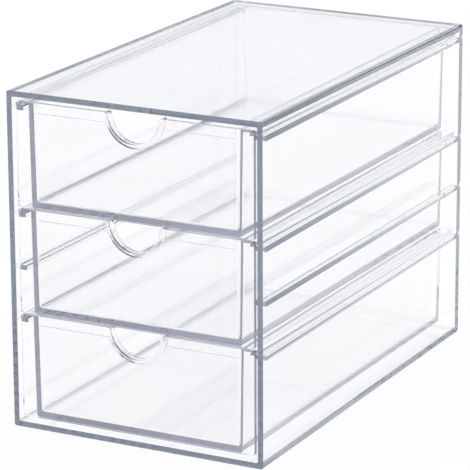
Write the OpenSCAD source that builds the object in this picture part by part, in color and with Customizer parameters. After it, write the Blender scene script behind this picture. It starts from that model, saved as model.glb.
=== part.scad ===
// Clear three-drawer vanity box: one open-fronted moulded case with integral
// runners, and three drawers that hang from the runners by their rim flanges.
// Millimetres. X is the width, Y runs from the open front (-) to the back (+),
// Z is up. The origin is the middle of the base.

/* [Case] */
// Width of the case across its open front
case_w = 136; // [120:1:160]
// Depth of the case from the front rim to the back
case_d = 230; // [180:5:280]
// Wall of the case at the front rim
case_wall = 2.8; // [2.2:0.1:3.4]
// Wall across the back of the case
case_back = 2.6; // [2.2:0.1:4]
// How much each side of the case leans in towards the back
side_draft = 1; // [0.2:0.1:2]
// How much the top of the case falls towards the back
top_draft = 1.2; // [0.2:0.1:1.4]
// How much more the inside narrows than the outside
core_draft = 0.2; // [0:0.05:0.4]
// Rounding of the outer edges of the case
case_edge_r = 1.3; // [0.6:0.1:2.2]
// Rounding of the inner edges of the case
case_inner_r = 0.8; // [0.4:0.1:1.4]

/* [Runners] */
// Height of a runner
runner_h = 2.3; // [1.6:0.1:2.8]
// How far a runner reaches in under the lip of its drawer at the front
runner_bearing = 1.5; // [1:0.1:2.4]
// Rounding along the inner edges of a runner
runner_tip_r = 0.5; // [0.2:0.1:0.7]
// Fillet between a runner and the wall it stands on
runner_root_r = 0.4; // [0.2:0.1:1.2]
// Distance of the runners' ends behind the front rim
runner_setback = 5; // [4:0.5:20]
// Clearance between a runner and the lip that slides on it
runner_gap = 0.3; // [0.2:0.05:0.5]

/* [Drawer fronts] */
// Height of a drawer front
front_h = 51.9; // [44:0.1:64]
// Thickness of a drawer front
front_t = 2.2; // [1.8:0.1:4]
// Gap between two drawer fronts
front_gap = 0.9; // [0.6:0.1:1.6]
// Gap between a drawer front and the side walls at the rim
front_side_gap = 2; // [0.9:0.1:2.4]
// How far the closed fronts stand back from the front rim
front_recess = 0.5; // [0:0.1:2]
// Gap over the top drawer front
head_gap = 2.1; // [1.8:0.1:3]
// Gap under the bottom drawer front
foot_gap = 3; // [1.5:0.1:4]
// Rounding of the corners of a drawer front
front_corner_r = 0.8; // [0.4:0.1:2]

/* [Thumb notch] */
// Radius of the half-round thumb notch
notch_r = 13.4; // [10:0.1:16]
// Depth of the notch below the top edge of the front
notch_depth = 14.1; // [11:0.1:16]
// Rounding where the notch runs out into the top edge
notch_corner_r = 1.5; // [0.8:0.1:2.5]
// Width of the raised collar round the notch
collar_w = 2.2; // [1.4:0.1:3]
// How far the collar stands out behind the front
collar_t = 2.4; // [0.8:0.1:3]
// Clearance between the collar and the cut-out of the tray
collar_gap = 0.2; // [0.1:0.05:0.4]

/* [Drawer trays] */
// Wall of a tray
tray_wall = 1.8; // [1.4:0.1:2.6]
// Floor of a tray
tray_floor = 2.3; // [1.6:0.1:3]
// Wall of a tray behind the drawer front
tray_front = 1.2; // [1:0.1:2.4]
// How much the walls of a tray lean in towards its floor
tray_draft = 0.8; // [0.2:0.1:1.5]
// Rounding of the upright outer corners of a tray
tray_corner_r = 2.4; // [1.5:0.1:4.5]
// Rounding of the lower outer edges of a tray
tray_edge_r = 1.2; // [0.6:0.1:2]
// Rounding inside a tray along its floor and corners
tray_inner_r = 1.6; // [0.8:0.1:2.5]
// How far the rim of a tray lies below the top edge of its front
rim_drop = 0.2; // [0:0.1:1]
// How far the tray's own front wall stops below its rim
sill_drop = 5.1; // [3:0.1:8]
// How far the floor of a tray lies above the bottom edge of its front
floor_lift = 0.1; // [0:0.1:2]
// Cement line between a tray and its drawer front
bond = 0.05; // [0.02:0.01:0.1]

/* [Rim flange] */
// Width of the flange on each side of a tray
flange_w = 5.8; // [5:0.1:7]
// Width of the flange across the back of a tray
flange_back_w = 2.2; // [1.5:0.1:5]
// Thickness of the flange
flange_t = 1; // [0.8:0.1:1.6]
// Depth of the turned-down lip from the top of the flange
lip_h = 2.5; // [2:0.1:4]
// Width of the lip along its sliding face
lip_foot_w = 2.7; // [2:0.1:3.4]
// Width of the lip under the flange
lip_neck_w = 1.9; // [1:0.1:2]
// Play between a drawer's flange and the case at the back of the side walls
side_play = 1.2; // [0.5:0.1:1.5]
// Play between a closed drawer's flange and the back wall
rear_play = 0.4; // [0.3:0.05:1]

/* [Hidden] */

round_fn = 24;      // facets round the small blended edges
notch_fn = 96;      // steps round the notch when it is shown as a mesh
skin = 0.05;        // thickness of the thin ends that a blend is stretched between
sink = 0.03;        // how deep the fillets of a runner are let into the wall
over = 1;           // how far a cut runs past the face it opens
clear_alpha = 0.4;  // how solid the clear pieces are shown
bottom_level = 0;   // the drawers, counted from the bottom
middle_level = 1;
top_level = 2;
spare_level = 0.5;  // the spare runners lie half a drawer above the bottom ones

// Heights, counted up from the base
drawer_pitch = front_h + front_gap;
case_h = 2 * case_wall + foot_gap + top_level * drawer_pitch + front_h + head_gap;
function front_z(level) = case_wall + foot_gap + level * drawer_pitch;
function rim_z(level) = front_z(level) + front_h - rim_drop;
function runner_z(level) = rim_z(level) - lip_h - runner_gap - runner_h;
tray_h = front_h - rim_drop - floor_lift;

// Places along the depth
rim_y = -case_d / 2;
inner_back_y = case_d / 2 - case_back;
front_y = rim_y + front_recess;
tray_y = front_y + front_t + bond;
flange_back_y = inner_back_y - rear_play;
tray_back_y = flange_back_y - flange_back_w;

// Half widths
inner_front_x = case_w / 2 - case_wall;
inner_back_x = inner_front_x - side_draft - core_draft;
front_x = inner_front_x - front_side_gap;
lip_x = inner_back_x - side_play;
runner_reach = inner_front_x - lip_x + runner_bearing;
wall_lean = atan((inner_front_x - inner_back_x) / (case_d - case_back));
tray_x = lip_x - flange_w;
bay_x = tray_x - tray_wall;

// The thumb notch, seen from the front
notch_drop = notch_depth - notch_r;
notch_blend_x = sqrt(pow(notch_r + notch_corner_r, 2) - pow(notch_drop - notch_corner_r, 2));
notch_blend_z = -notch_drop + (notch_drop - notch_corner_r) * notch_r / (notch_r + notch_corner_r);

// ---- Shapes shared by the pieces ----

// A ball whose steps start at its poles, so that it reaches its full radius each way
module ball(r) {
    rotate_extrude($fn = round_fn)
        intersection() {
            circle(r = r, $fn = round_fn);
            translate([0, -r])
                square([r, 2 * r]);
        }
}

// A rectangle with round corners, from its lower left corner
module rounded_plate(w, h, r) {
    translate([r, 0])
        square([w - 2 * r, h]);
    translate([0, r])
        square([w, h - 2 * r]);
    for (x = [r, w - r])
        for (z = [r, h - r])
            translate([x, z])
                circle(r = r, $fn = notch_fn);
}

// ---- Case ----

// A box that tapers to the back, with rounded long edges and a rounded back
module tapered_box(front_half_w, back_half_w, z_low, z_front, z_back, y_front, y_back, r) {
    hull() {
        for (side = [-1, 1]) {
            for (z = [z_low + r, z_front - r])
                translate([side * (front_half_w - r), y_front + skin, z])
                    rotate([90, 0, 0])
                        cylinder(r = r, h = skin, $fn = round_fn);
            for (z = [z_low + r, z_back - r])
                translate([side * (back_half_w - r), y_back - r, z])
                    ball(r);
        }
    }
}

// A runner in outline, with its tip at zero, and a fillet over and under its root.
// It ends inside the wall.
module runner_outline() {
    root_x = runner_reach + sink;
    rounded_plate(runner_reach + case_wall / 2, runner_h, runner_tip_r);
    for (over_root = [0, 1])
        translate([root_x, over_root * runner_h])
            mirror([0, 1 - over_root])
                difference() {
                    translate([-runner_root_r, -sink])
                        square([runner_root_r + case_wall / 2 - sink, runner_root_r + sink]);
                    translate([-runner_root_r, runner_root_r])
                        circle(r = runner_root_r, $fn = notch_fn);
                }
}

// One runner on each side wall, from behind the rim to the back wall. It leans in
// with the wall, so that its fillets follow the wall all the way.
module runner_pair(z) {
    for (side = [0, 1])
        mirror([side, 0, 0])
            translate([inner_front_x, rim_y, z])
                rotate([0, 0, wall_lean])
                    translate([-runner_reach, case_d - case_back / 2, 0])
                        rotate([90, 0, 0])
                            linear_extrude(case_d - runner_setback - case_back / 2)
                                runner_outline();
}

module case_shell() {
    color("aliceblue", clear_alpha) {
        difference() {
            tapered_box(case_w / 2, case_w / 2 - side_draft, 0, case_h, case_h - top_draft,
                        rim_y, case_d / 2, case_edge_r);
            tapered_box(inner_front_x, inner_back_x, case_wall, case_h - case_wall,
                        case_h - case_wall - top_draft - core_draft,
                        rim_y - skin, inner_back_y, case_inner_r);
        }
        for (level = [bottom_level, spare_level, middle_level, top_level])
            runner_pair(runner_z(level));
    }
}

// ---- Drawer front ----

// The notch in outline, its origin on the top edge of the front
module notch_outline() {
    translate([0, -notch_drop])
        circle(r = notch_r, $fn = notch_fn);
    difference() {
        translate([-notch_blend_x, notch_blend_z])
            square([2 * notch_blend_x, over - notch_blend_z]);
        for (side = [-1, 1])
            translate([side * notch_blend_x, -notch_corner_r])
                circle(r = notch_corner_r, $fn = notch_fn);
    }
}

// The collar in outline, its origin on the top edge of the front
module collar_outline() {
    difference() {
        intersection() {
            translate([0, -notch_drop])
                circle(r = notch_r + collar_w, $fn = notch_fn);
            translate([-front_x, -front_h])
                square([2 * front_x, front_h]);
        }
        notch_outline();
    }
}

module drawer_front(level) {
    color("lavender", clear_alpha)
        translate([0, front_y + front_t, front_z(level) + front_h])
            rotate([90, 0, 0]) {
                linear_extrude(front_t)
                    difference() {
                        translate([-front_x, -front_h])
                            rounded_plate(2 * front_x, front_h, front_corner_r);
                        notch_outline();
                    }
                translate([0, 0, -collar_t])
                    linear_extrude(collar_t)
                        collar_outline();
            }
}

// ---- Drawer tray ----

// A tub that narrows to its floor, with round upright corners and a round floor edge
module tub(half_w, y_front, y_back, z_low, z_top, lean, front_lean, corner_r, floor_r) {
    hull() {
        for (side = [-1, 1]) {
            for (y = [y_front + corner_r, y_back - corner_r])
                translate([side * (half_w - corner_r), y, z_top - skin])
                    cylinder(r = corner_r, h = skin, $fn = round_fn);
            for (y = [y_front + front_lean + floor_r, y_back - lean - floor_r])
                translate([side * (half_w - lean - floor_r), y, z_low + floor_r])
                    ball(floor_r);
        }
    }
}

// The flange round the sides and back of the rim
module rim_flange() {
    translate([-lip_x, tray_y, 0])
        cube([2 * lip_x, flange_back_y - tray_y - tray_corner_r, flange_t]);
    translate([-lip_x + tray_corner_r, tray_y, 0])
        cube([2 * (lip_x - tray_corner_r), flange_back_y - tray_y, flange_t]);
    for (side = [-1, 1])
        translate([side * (lip_x - tray_corner_r), flange_back_y - tray_corner_r, 0])
            cylinder(r = tray_corner_r, h = flange_t, $fn = notch_fn);
}

// The lip that hangs from the flange and slides on a runner
module side_lip() {
    translate([0, flange_back_y - tray_corner_r, 0])
        rotate([90, 0, 0])
            linear_extrude(flange_back_y - tray_corner_r - tray_y)
                polygon([[lip_x - lip_neck_w - flange_t / 2, flange_t / 2],
                         [lip_x - lip_neck_w, 0],
                         [lip_x - lip_foot_w, flange_t - lip_h],
                         [lip_x, flange_t - lip_h],
                         [lip_x, flange_t / 2]]);
}

module drawer_tray(level) {
    z_top = rim_z(level);
    z_low = z_top - tray_h;
    color("ghostwhite", clear_alpha)
        difference() {
            union() {
                intersection() {
                    tub(tray_x, tray_y - tray_corner_r, tray_back_y, z_low, z_top,
                        tray_draft, 0, tray_corner_r, tray_edge_r);
                    translate([-tray_x, tray_y, z_low])
                        cube([2 * tray_x, tray_back_y - tray_y, tray_h]);
                }
                translate([0, 0, z_top - flange_t]) {
                    rim_flange();
                    for (side = [0, 1])
                        mirror([side, 0, 0])
                            side_lip();
                }
            }
            tub(bay_x, tray_y + tray_front, tray_back_y - tray_wall,
                z_low + tray_floor, z_top + skin, tray_draft, 0, tray_inner_r, tray_inner_r);
            translate([-bay_x + tray_inner_r, tray_y - over, z_top - sill_drop])
                cube([2 * (bay_x - tray_inner_r), tray_front + 2 * over, sill_drop + over]);
            translate([0, tray_y - over, z_top + rim_drop - notch_drop])
                rotate([-90, 0, 0])
                    cylinder(r = notch_r + collar_w + collar_gap, h = tray_front + 2 * over,
                             $fn = notch_fn);
        }
}

case_shell();
drawer_tray(top_level);  // drawer_tray_top
drawer_tray(middle_level);  // drawer_tray_middle
drawer_tray(bottom_level);  // drawer_tray_bottom
drawer_front(top_level);  // drawer_front_top
drawer_front(middle_level);  // drawer_front_middle
drawer_front(bottom_level);  // drawer_front_bottom
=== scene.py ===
import math

import bpy
from mathutils import Matrix, Vector

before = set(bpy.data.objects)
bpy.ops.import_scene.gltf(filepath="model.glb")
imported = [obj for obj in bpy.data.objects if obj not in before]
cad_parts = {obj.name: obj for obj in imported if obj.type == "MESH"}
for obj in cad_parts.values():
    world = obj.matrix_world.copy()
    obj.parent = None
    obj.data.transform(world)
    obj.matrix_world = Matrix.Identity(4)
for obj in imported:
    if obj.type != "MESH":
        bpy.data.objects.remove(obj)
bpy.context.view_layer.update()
print("frame loaded:", len(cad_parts), "moulded pieces")


# The camera stands front right and a little above, with a long lens.
photoCamera = {
    "aim": (-0.00647, 0.0, 0.07425),
    "distance": 1.5878,
    "azimuth": 27.603,
    "elevation": 16.612,
    "roll": -0.271,
    "lens": 241.62,
    "sensor": 36.0,
    "near": 0.05,
    "far": 50.0,
}


def placeCamera(view):
    azimuth = math.radians(view["azimuth"])
    elevation = math.radians(view["elevation"])
    forward = Vector((-math.sin(azimuth) * math.cos(elevation),
                      math.cos(azimuth) * math.cos(elevation),
                      -math.sin(elevation)))
    lensData = bpy.data.cameras.new("photoCamera")
    lensData.lens = view["lens"]
    lensData.sensor_width = view["sensor"]
    lensData.clip_start = view["near"]
    lensData.clip_end = view["far"]
    camera = bpy.data.objects.new("photoCamera", lensData)
    bpy.context.scene.collection.objects.link(camera)
    camera.location = Vector(view["aim"]) - forward * view["distance"]
    level = forward.to_track_quat("-Z", "Y").to_matrix().to_4x4()
    tilt = Matrix.Rotation(math.radians(view["roll"]), 4, "Z")
    camera.rotation_euler = (level @ tilt).to_euler()
    bpy.context.scene.camera = camera


placeCamera(photoCamera)
print("camera placed")


def addNode(tree, kind, settings=None, **sockets):
    node = tree.nodes.new(kind)
    for name, value in (settings or {}).items():
        setattr(node, name, value)
    for name, value in sockets.items():
        node.inputs[name.replace("_", " ")].default_value = value
    return node


def addSocket(tree, name, direction, value=None, kind="NodeSocketFloat"):
    socket = tree.interface.new_socket(name=name, in_out=direction, socket_type=kind)
    if value is not None:
        socket.default_value = value


# Slow waves that a cooling moulding keeps in its faces
waveLook = {"detail": 1.0, "roughness": 0.4}


def makeMouldWaves(look):
    tree = bpy.data.node_groups.new("mouldWaves", "ShaderNodeTree")
    addSocket(tree, "Scale", "INPUT", 30.0)
    addSocket(tree, "Offset", "INPUT", 0.0)
    addSocket(tree, "Height", "OUTPUT")
    ends = addNode(tree, "NodeGroupInput")
    out = addNode(tree, "NodeGroupOutput")
    place = addNode(tree, "ShaderNodeTexCoord")
    shift = addNode(tree, "ShaderNodeVectorMath", {"operation": "ADD"})
    waves = addNode(tree, "ShaderNodeTexNoise",
                    Detail=look["detail"], Roughness=look["roughness"])
    tree.links.new(place.outputs["Object"], shift.inputs[0])
    tree.links.new(ends.outputs["Offset"], shift.inputs[1])
    tree.links.new(shift.outputs["Vector"], waves.inputs["Vector"])
    tree.links.new(ends.outputs["Scale"], waves.inputs["Scale"])
    tree.links.new(waves.outputs["Fac"], out.inputs["Height"])
    return tree


mouldWaves = makeMouldWaves(waveLook)


# The breath of haze that handling leaves on polished plastic, in soft patches
hazeLook = {
    "detail": 4.0,
    "roughness": 0.55,
    "patchStart": 0.48,  # noise under this stays polished
    "patchFull": 0.7,  # noise over this is fully hazy
    "clean": (1.0, 1.0, 1.0),
    "dull": (0.999, 0.999, 1.0),
}


def makeHandlingHaze(look):
    tree = bpy.data.node_groups.new("handlingHaze", "ShaderNodeTree")
    addSocket(tree, "Scale", "INPUT", 18.0)
    addSocket(tree, "Offset", "INPUT", 0.0)
    addSocket(tree, "Polish", "INPUT", 0.0)
    addSocket(tree, "Haze", "INPUT", 0.02)
    addSocket(tree, "Roughness", "OUTPUT")
    addSocket(tree, "Tint", "OUTPUT", kind="NodeSocketColor")
    ends = addNode(tree, "NodeGroupInput")
    out = addNode(tree, "NodeGroupOutput")
    place = addNode(tree, "ShaderNodeTexCoord")
    shift = addNode(tree, "ShaderNodeVectorMath", {"operation": "ADD"})
    patches = addNode(tree, "ShaderNodeTexNoise",
                      Detail=look["detail"], Roughness=look["roughness"])
    mask = addNode(tree, "ShaderNodeMapRange", {"interpolation_type": "SMOOTHSTEP"})
    mask.inputs["From Min"].default_value = look["patchStart"]
    mask.inputs["From Max"].default_value = look["patchFull"]
    rough = addNode(tree, "ShaderNodeMapRange")
    tint = addNode(tree, "ShaderNodeValToRGB")
    tint.color_ramp.elements[0].color = look["clean"] + (1,)
    tint.color_ramp.elements[1].color = look["dull"] + (1,)
    tree.links.new(place.outputs["Object"], shift.inputs[0])
    tree.links.new(ends.outputs["Offset"], shift.inputs[1])
    tree.links.new(shift.outputs["Vector"], patches.inputs["Vector"])
    tree.links.new(ends.outputs["Scale"], patches.inputs["Scale"])
    tree.links.new(patches.outputs["Fac"], mask.inputs["Value"])
    tree.links.new(mask.outputs["Result"], rough.inputs["Value"])
    tree.links.new(ends.outputs["Polish"], rough.inputs["To Min"])
    tree.links.new(ends.outputs["Haze"], rough.inputs["To Max"])
    tree.links.new(mask.outputs["Result"], tint.inputs["Fac"])
    tree.links.new(rough.outputs["Result"], out.inputs["Roughness"])
    tree.links.new(tint.outputs["Color"], out.inputs["Tint"])
    return tree


handlingHaze = makeHandlingHaze(hazeLook)

# absorb is how much light the plastic takes per metre, in red, green and blue.
# polish and haze are the roughness of its clean and its handled patches.
caseLook = {
    "absorb": (5.7, 5.15, 4.4),
    "density": 30.0,
    "ior": 1.49,
    "polish": 0.02,
    "haze": 0.05,
    "hazeScale": 18.0,
    "waveScale": 30.0,
    "waveDepth": 0.00007,
    "patternOffset": 0.0,
}
trayLook = {
    "absorb": (4.8, 4.6, 3.7),
    "density": 30.0,
    "ior": 1.49,
    "polish": 0.015,
    "haze": 0.04,
    "hazeScale": 18.0,
    "waveScale": 30.0,
    "waveDepth": 0.00007,
    "patternOffset": 3.0,
}
frontLook = {
    "absorb": (7.4, 7.0, 5.8),
    "density": 30.0,
    "ior": 1.49,
    "polish": 0.05,
    "haze": 0.1,
    "hazeScale": 18.0,
    "waveScale": 30.0,
    "waveDepth": 0.00007,
    "patternOffset": 7.0,
}


def makeClearPlastic(name, look):
    material = bpy.data.materials.new(name)
    material.use_nodes = True
    tree = material.node_tree
    tree.nodes.clear()
    out = addNode(tree, "ShaderNodeOutputMaterial")
    plastic = addNode(tree, "ShaderNodeBsdfPrincipled",
                      Transmission_Weight=1.0, IOR=look["ior"])
    waves = addNode(tree, "ShaderNodeGroup", {"node_tree": mouldWaves},
                    Scale=look["waveScale"], Offset=look["patternOffset"])
    bump = addNode(tree, "ShaderNodeBump", Strength=1.0, Distance=look["waveDepth"])
    haze = addNode(tree, "ShaderNodeGroup", {"node_tree": handlingHaze},
                   Scale=look["hazeScale"], Offset=look["patternOffset"],
                   Polish=look["polish"], Haze=look["haze"])
    tint = [1 - part / look["density"] for part in look["absorb"]] + [1]
    body = addNode(tree, "ShaderNodeVolumeAbsorption", Density=look["density"], Color=tint)
    tree.links.new(waves.outputs["Height"], bump.inputs["Height"])
    tree.links.new(bump.outputs["Normal"], plastic.inputs["Normal"])
    tree.links.new(haze.outputs["Roughness"], plastic.inputs["Roughness"])
    tree.links.new(haze.outputs["Tint"], plastic.inputs["Base Color"])
    tree.links.new(plastic.outputs["BSDF"], out.inputs["Surface"])
    tree.links.new(body.outputs["Volume"], out.inputs["Volume"])
    return material


casePlastic = makeClearPlastic("clearCase", caseLook)
trayPlastic = makeClearPlastic("clearTray", trayLook)
frontPlastic = makeClearPlastic("clearFront", frontLook)
print("clear plastics mixed")

# The polished rounding that a mould leaves along each edge
edgeRounding = {"case": 0.0004, "tray": 0.00035, "front": 0.0006,
                "segments": 3, "angle": 35.0, "weld": 0.000002}


def roundEdges(piece, width, edge):
    weld = piece.modifiers.new("weld", "WELD")
    weld.merge_threshold = edge["weld"]
    bevel = piece.modifiers.new("edges", "BEVEL")
    bevel.width = width
    bevel.segments = edge["segments"]
    bevel.limit_method = "ANGLE"
    bevel.angle_limit = math.radians(edge["angle"])
    bevel.harden_normals = True


def dressPiece(piece, material, width):
    for slot in piece.material_slots:
        slot.material = material
    roundEdges(piece, width, edgeRounding)


for name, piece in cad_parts.items():
    if name.startswith("case"):
        dressPiece(piece, casePlastic, edgeRounding["case"])
    elif "tray" in name:
        dressPiece(piece, trayPlastic, edgeRounding["tray"])
    else:
        dressPiece(piece, frontPlastic, edgeRounding["front"])
print("case, trays and fronts dressed")

# Levels give the light by height over the horizon: 0 is level, 1 is straight up.
# mirrored is what outer faces reflect, and guided what long paths in a wall end on.
studioLight = {
    "levels": (
        (0.0, (1.0, 0.995, 1.0)),
        (0.35, (1.0, 0.995, 1.0)),
        (0.5, (0.23, 0.24, 0.31)),
        (0.85, (0.03, 0.035, 0.045)),
    ),
    "mirrored": (0.82, 0.83, 0.89),
    "guided": (0.97, 0.97, 1.0),
    "guidedAfter": 10.5,  # bounces
    "background": (1.0, 1.0, 1.0),
}
# glow is what the camera sees of the paper, and throughGlow what the plastic shows of it
studioFloor = {
    "halfSize": 3.0,
    "height": -0.0003,
    "paper": (0.07, 0.07, 0.07),
    "glow": (0.945, 0.945, 0.945),
    "throughGlow": (0.992, 0.987, 1.0),
}


def makeLight(light):
    world = bpy.data.worlds.new("studio")
    world.use_nodes = True
    bpy.context.scene.world = world
    tree = world.node_tree
    tree.nodes.clear()
    out = addNode(tree, "ShaderNodeOutputWorld")
    place = addNode(tree, "ShaderNodeTexCoord")
    height = addNode(tree, "ShaderNodeSeparateXYZ")
    ramp = addNode(tree, "ShaderNodeValToRGB")
    first, last = ramp.color_ramp.elements[0], ramp.color_ramp.elements[1]
    first.position, first.color = light["levels"][0][0], light["levels"][0][1] + (1,)
    last.position, last.color = light["levels"][-1][0], light["levels"][-1][1] + (1,)
    for position, shade in light["levels"][1:-1]:
        ramp.color_ramp.elements.new(position).color = shade + (1,)
    soft = addNode(tree, "ShaderNodeBackground")
    mirrored = addNode(tree, "ShaderNodeBackground", Color=light["mirrored"] + (1,))
    plain = addNode(tree, "ShaderNodeBackground", Color=light["background"] + (1,))
    guided = addNode(tree, "ShaderNodeBackground", Color=light["guided"] + (1,))
    path = addNode(tree, "ShaderNodeLightPath")
    far = addNode(tree, "ShaderNodeMath", {"operation": "GREATER_THAN"})
    far.inputs[1].default_value = light["guidedAfter"]
    inWall = addNode(tree, "ShaderNodeMixShader")
    inMirror = addNode(tree, "ShaderNodeMixShader")
    mix = addNode(tree, "ShaderNodeMixShader")
    tree.links.new(place.outputs["Generated"], height.inputs["Vector"])
    tree.links.new(height.outputs["Z"], ramp.inputs["Fac"])
    tree.links.new(ramp.outputs["Color"], soft.inputs["Color"])
    tree.links.new(path.outputs["Is Reflection Ray"], inMirror.inputs["Fac"])
    tree.links.new(path.outputs["Ray Depth"], far.inputs[0])
    tree.links.new(far.outputs["Value"], inWall.inputs["Fac"])
    tree.links.new(soft.outputs["Background"], inWall.inputs[1])
    tree.links.new(guided.outputs["Background"], inWall.inputs[2])
    tree.links.new(inWall.outputs["Shader"], inMirror.inputs[1])
    tree.links.new(mirrored.outputs["Background"], inMirror.inputs[2])
    tree.links.new(path.outputs["Is Camera Ray"], mix.inputs["Fac"])
    tree.links.new(inMirror.outputs["Shader"], mix.inputs[1])
    tree.links.new(plain.outputs["Background"], mix.inputs[2])
    tree.links.new(mix.outputs["Shader"], out.inputs["Surface"])


def makeFloor(floor):
    half, height = floor["halfSize"], floor["height"]
    mesh = bpy.data.meshes.new("studioFloor")
    corners = [(-half, -half, height), (half, -half, height),
               (half, half, height), (-half, half, height)]
    mesh.from_pydata(corners, [], [(0, 1, 2, 3)])
    sheet = bpy.data.objects.new("studioFloor", mesh)
    bpy.context.scene.collection.objects.link(sheet)
    material = bpy.data.materials.new("whitePaper")
    material.use_nodes = True
    tree = material.node_tree
    tree.nodes.clear()
    out = addNode(tree, "ShaderNodeOutputMaterial")
    paper = addNode(tree, "ShaderNodeBsdfDiffuse", Color=floor["paper"] + (1,))
    glow = addNode(tree, "ShaderNodeEmission")
    path = addNode(tree, "ShaderNodeLightPath")
    through = addNode(tree, "ShaderNodeMath", {"operation": "MAXIMUM"})
    seen = addNode(tree, "ShaderNodeMath", {"operation": "MAXIMUM"})
    shade = addNode(tree, "ShaderNodeMix", {"data_type": "RGBA"})
    colourIn = [socket for socket in shade.inputs if socket.type == "RGBA"]
    colourIn[0].default_value = floor["throughGlow"] + (1,)
    colourIn[1].default_value = floor["glow"] + (1,)
    both = addNode(tree, "ShaderNodeAddShader")
    tree.links.new(path.outputs["Is Glossy Ray"], through.inputs[0])
    tree.links.new(path.outputs["Is Transmission Ray"], through.inputs[1])
    tree.links.new(through.outputs["Value"], seen.inputs[0])
    tree.links.new(path.outputs["Is Camera Ray"], seen.inputs[1])
    tree.links.new(path.outputs["Is Camera Ray"], shade.inputs[0])
    tree.links.new(shade.outputs[2], glow.inputs["Color"])
    tree.links.new(seen.outputs["Value"], glow.inputs["Strength"])
    tree.links.new(paper.outputs["BSDF"], both.inputs[0])
    tree.links.new(glow.outputs["Emission"], both.inputs[1])
    tree.links.new(both.outputs["Shader"], out.inputs["Surface"])
    mesh.materials.append(material)


makeLight(studioLight)
makeFloor(studioFloor)
print("studio lit")

scene = bpy.context.scene
scene.view_settings.view_transform = "Standard"
# Clear walls behind clear walls need many bounces
clearWallBounces = {"through": 64, "transparent": 32}
scene.cycles.max_bounces = clearWallBounces["through"]
scene.cycles.transmission_bounces = clearWallBounces["through"]
scene.cycles.glossy_bounces = clearWallBounces["through"]
scene.cycles.transparent_max_bounces = clearWallBounces["transparent"]
